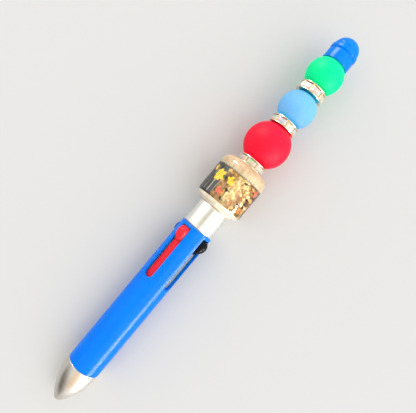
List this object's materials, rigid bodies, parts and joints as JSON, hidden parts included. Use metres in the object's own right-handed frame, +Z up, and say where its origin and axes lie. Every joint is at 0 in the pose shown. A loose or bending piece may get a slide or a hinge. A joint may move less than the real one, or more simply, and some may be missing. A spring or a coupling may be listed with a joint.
{
  "type": "multicolor click pen",
  "caption": "Click pen with sliding colour buttons round its barrel and a rear rod strung with silicone beads, a clear resin bead and stone-set spacers.",
  "frame": {"origin": "on the resting surface, under the middle of the pen's bounding box as it lies", "axes": "+X from the writing tip to the end cap, +Z up; the pen lies tilted, cap end high, on the front edge of its barrel and the front edge of its resin bead"},
  "size_m": [0.1444, 0.0164, 0.0168],
  "materials": {
    "nose_metal": "satin",
    "barrel_plastic": "gloss",
    "red_plastic": "gloss",
    "blue_plastic": "gloss",
    "green_plastic": "gloss",
    "black_plastic": "gloss",
    "guide_plastic": "satin",
    "collar_metal": "satin",
    "steel": "polished",
    "refill_plastic": "gloss",
    "point_metal": "polished",
    "resin": "gloss",
    "rondelle_metal": "polished",
    "stone_glass": "polished",
    "red_silicone": "satin",
    "light_blue_silicone": "satin",
    "green_silicone": "satin",
    "cap_plastic": "gloss"
  },
  "bodies": {
    "barrel": {"barrel": "barrel_plastic", "spring_seat": "guide_plastic", "guide_core": "guide_plastic", "collar": "collar_metal", "bead_rod": "steel", "return_spring_red": "steel", "return_spring_blue": "steel", "return_spring_green": "steel", "return_spring_black": "steel"},
    "slider_red": {"slider_red": "red_plastic"},
    "refill_red": {"refill_tube_red": "refill_plastic", "refill_point_red": "point_metal"},
    "slider_blue": {"slider_blue": "blue_plastic"},
    "refill_blue": {"refill_tube_blue": "refill_plastic", "refill_point_blue": "point_metal"},
    "slider_green": {"slider_green": "green_plastic"},
    "refill_green": {"refill_tube_green": "refill_plastic", "refill_point_green": "point_metal"},
    "slider_black": {"slider_black": "black_plastic"},
    "refill_black": {"refill_tube_black": "refill_plastic", "refill_point_black": "point_metal"},
    "nose_cone": {"nose_cone": "nose_metal"},
    "end_cap": {"end_cap": "cap_plastic"},
    "resin_bead": {"resin_bead": "resin"},
    "rondelle_1": {"rondelle_1_band": "rondelle_metal", "rondelle_1_stone_1": "stone_glass", "rondelle_1_stone_2": "stone_glass", "rondelle_1_stone_3": "stone_glass", "rondelle_1_stone_4": "stone_glass", "rondelle_1_stone_5": "stone_glass", "rondelle_1_stone_6": "stone_glass", "rondelle_1_stone_7": "stone_glass", "rondelle_1_stone_8": "stone_glass"},
    "bead_red": {"bead_red": "red_silicone"},
    "rondelle_2": {"rondelle_2_band": "rondelle_metal", "rondelle_2_stone_1": "stone_glass", "rondelle_2_stone_2": "stone_glass", "rondelle_2_stone_3": "stone_glass", "rondelle_2_stone_4": "stone_glass", "rondelle_2_stone_5": "stone_glass", "rondelle_2_stone_6": "stone_glass", "rondelle_2_stone_7": "stone_glass", "rondelle_2_stone_8": "stone_glass"},
    "bead_light_blue": {"bead_light_blue": "light_blue_silicone"},
    "rondelle_3": {"rondelle_3_band": "rondelle_metal", "rondelle_3_stone_1": "stone_glass", "rondelle_3_stone_2": "stone_glass", "rondelle_3_stone_3": "stone_glass", "rondelle_3_stone_4": "stone_glass", "rondelle_3_stone_5": "stone_glass", "rondelle_3_stone_6": "stone_glass", "rondelle_3_stone_7": "stone_glass", "rondelle_3_stone_8": "stone_glass"},
    "bead_green": {"bead_green": "green_silicone"}
  },
  "joints": [
    {"name": "press_red", "type": "slide", "parent": "barrel", "child": "slider_red", "axis": [-0.9992, 0, -0.0394], "range_m": [0, 0.011], "stiffness_N_per_m": 140, "springref_m": -0.0035, "deforming": ["return_spring_red", "refill_tube_red", "refill_point_red"]},
    {"name": "aim_red", "type": "hinge", "parent": "slider_red", "child": "refill_red", "pos_m": [-0.02909, 0.0015, 0.00904], "axis": [-0.0215, -0.8387, 0.5442], "range_deg": [0, 5]},
    {"name": "press_blue", "type": "slide", "parent": "barrel", "child": "slider_blue", "axis": [-0.9992, 0, -0.0394], "range_m": [0, 0.011], "stiffness_N_per_m": 140, "springref_m": -0.0035, "deforming": ["return_spring_blue", "refill_tube_blue", "refill_point_blue"]},
    {"name": "aim_blue", "type": "hinge", "parent": "slider_blue", "child": "refill_blue", "pos_m": [-0.02894, 0.00231, 0.00524], "axis": [-0.0331, 0.5446, 0.838], "range_deg": [0, 5]},
    {"name": "press_green", "type": "slide", "parent": "barrel", "child": "slider_green", "axis": [-0.9992, 0, -0.0394], "range_m": [0, 0.011], "stiffness_N_per_m": 140, "springref_m": -0.0035, "deforming": ["return_spring_green", "refill_tube_green", "refill_point_green"]},
    {"name": "aim_green", "type": "hinge", "parent": "slider_green", "child": "refill_green", "pos_m": [-0.02891, -0.0015, 0.00443], "axis": [0.0215, 0.8387, -0.5442], "range_deg": [0, 5]},
    {"name": "press_black", "type": "slide", "parent": "barrel", "child": "slider_black", "axis": [-0.9992, 0, -0.0394], "range_m": [0, 0.011], "stiffness_N_per_m": 140, "springref_m": -0.0035, "deforming": ["return_spring_black", "refill_tube_black", "refill_point_black"]},
    {"name": "aim_black", "type": "hinge", "parent": "slider_black", "child": "refill_black", "pos_m": [-0.02906, -0.00231, 0.00824], "axis": [0.0331, -0.5446, -0.838], "range_deg": [0, 5]},
    {"name": "nose_cone_unscrew", "type": "slide", "parent": "barrel", "child": "nose_cone", "axis": [-0.9992, 0, -0.0394], "range_m": [0, 0.02]},
    {"name": "end_cap_unscrew", "type": "slide", "parent": "barrel", "child": "end_cap", "axis": [0.9992, 0, 0.0394], "range_m": [0, 0.009]},
    {"name": "resin_bead_spin", "type": "hinge", "parent": "barrel", "child": "resin_bead", "pos_m": [0.01271, 0, 0.00838], "axis": [0.9992, 0, 0.0394], "continuous": true},
    {"name": "rondelle_1_spin", "type": "hinge", "parent": "barrel", "child": "rondelle_1", "pos_m": [0.02231, 0, 0.00876], "axis": [0.9992, 0, 0.0394], "continuous": true},
    {"name": "bead_red_spin", "type": "hinge", "parent": "barrel", "child": "bead_red", "pos_m": [0.03018, 0, 0.00907], "axis": [0.9992, 0, 0.0394], "continuous": true},
    {"name": "rondelle_2_spin", "type": "hinge", "parent": "barrel", "child": "rondelle_2", "pos_m": [0.03807, 0, 0.00938], "axis": [0.9992, 0, 0.0394], "continuous": true},
    {"name": "bead_light_blue_spin", "type": "hinge", "parent": "barrel", "child": "bead_light_blue", "pos_m": [0.04466, 0, 0.00964], "axis": [0.9992, 0, 0.0394], "continuous": true},
    {"name": "rondelle_3_spin", "type": "hinge", "parent": "barrel", "child": "rondelle_3", "pos_m": [0.05141, 0, 0.00991], "axis": [0.9992, 0, 0.0394], "continuous": true},
    {"name": "bead_green_spin", "type": "hinge", "parent": "barrel", "child": "bead_green", "pos_m": [0.05813, 0, 0.01018], "axis": [0.9992, 0, 0.0394], "continuous": true}
  ],
  "couplings": [
    {"joint": "aim_red", "follows": "press_red", "rad_per_m": 7.9},
    {"joint": "aim_blue", "follows": "press_blue", "rad_per_m": 7.9},
    {"joint": "aim_green", "follows": "press_green", "rad_per_m": 7.9},
    {"joint": "aim_black", "follows": "press_black", "rad_per_m": 7.9}
  ]
}
